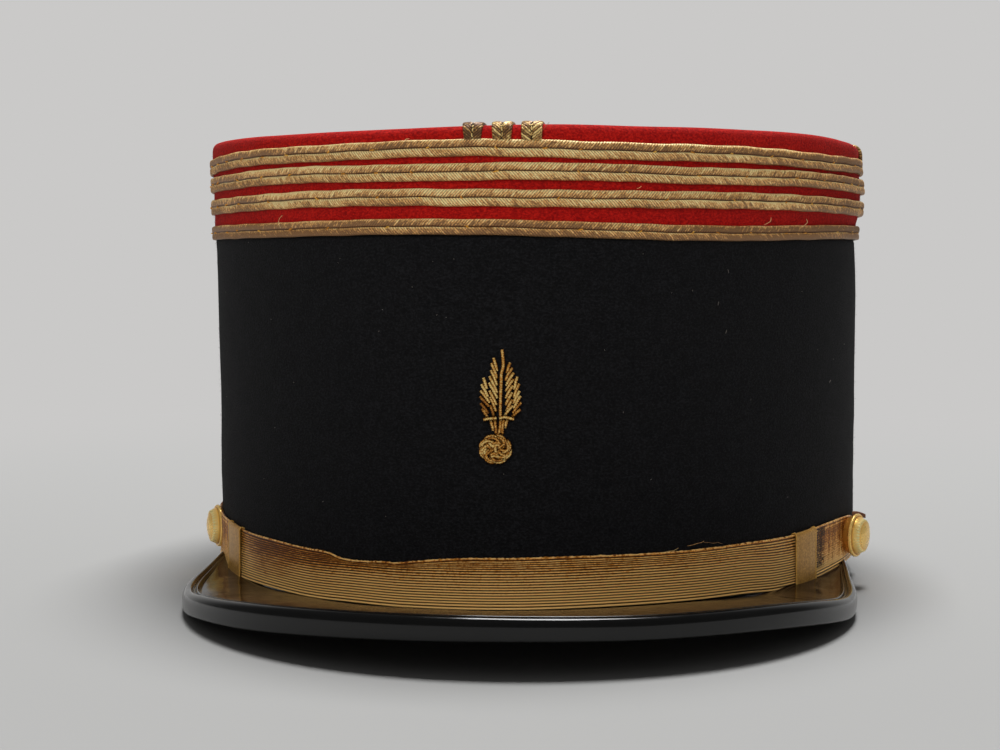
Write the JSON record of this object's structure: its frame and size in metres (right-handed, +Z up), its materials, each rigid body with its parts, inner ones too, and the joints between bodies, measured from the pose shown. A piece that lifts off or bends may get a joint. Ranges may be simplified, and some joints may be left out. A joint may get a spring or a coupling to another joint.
{
  "type": "kepi cap",
  "caption": "Tall stiff oval wool cap with a coloured crown, gold braid rings, an embroidered flaming grenade, a gold chin strap and a patent leather peak.",
  "frame": {"origin": "middle of the whole cap's outline seen from above, on the plane that its lower edge stands on", "axes": "+Z up, -Y towards the peak, +X to the right as the picture shows the cap"},
  "size_m": [0.1729, 0.2412, 0.1119],
  "materials": {
    "blue_black_wool": "milled wool cloth with a short matt nap",
    "red_wool": "milled wool cloth with a short matt nap",
    "gold_braid": "plaited gilt thread, dulled with age",
    "gold_bullion": "coiled gilt wire sewn down in strands",
    "gold_strap": "ribbed gilt braid, browned with age",
    "gilt_brass": "stamped and gilded, satin",
    "patent_leather": "lacquered black leather, glossy"
  },
  "bodies": {
    "root": {"band": "blue_black_wool", "crown_side": "red_wool", "crown_top": "red_wool", "ring_braid_1": "gold_braid", "ring_braid_2": "gold_braid", "ring_braid_3": "gold_braid", "ring_braid_4": "gold_braid", "edge_braid_front_1": "gold_braid", "edge_braid_front_2": "gold_braid", "edge_braid_front_3": "gold_braid", "edge_braid_right_1": "gold_braid", "edge_braid_right_2": "gold_braid", "edge_braid_right_3": "gold_braid", "edge_braid_back_1": "gold_braid", "edge_braid_back_2": "gold_braid", "edge_braid_back_3": "gold_braid", "edge_braid_left_1": "gold_braid", "edge_braid_left_2": "gold_braid", "edge_braid_left_3": "gold_braid", "grenade_badge": "gold_bullion", "chin_strap": "gold_strap", "strap_slide_left": "gold_strap", "strap_slide_right": "gold_strap", "button_left": "gilt_brass", "button_right": "gilt_brass", "peak": "patent_leather", "peak_rim": "patent_leather"}
  },
  "joints": []
}
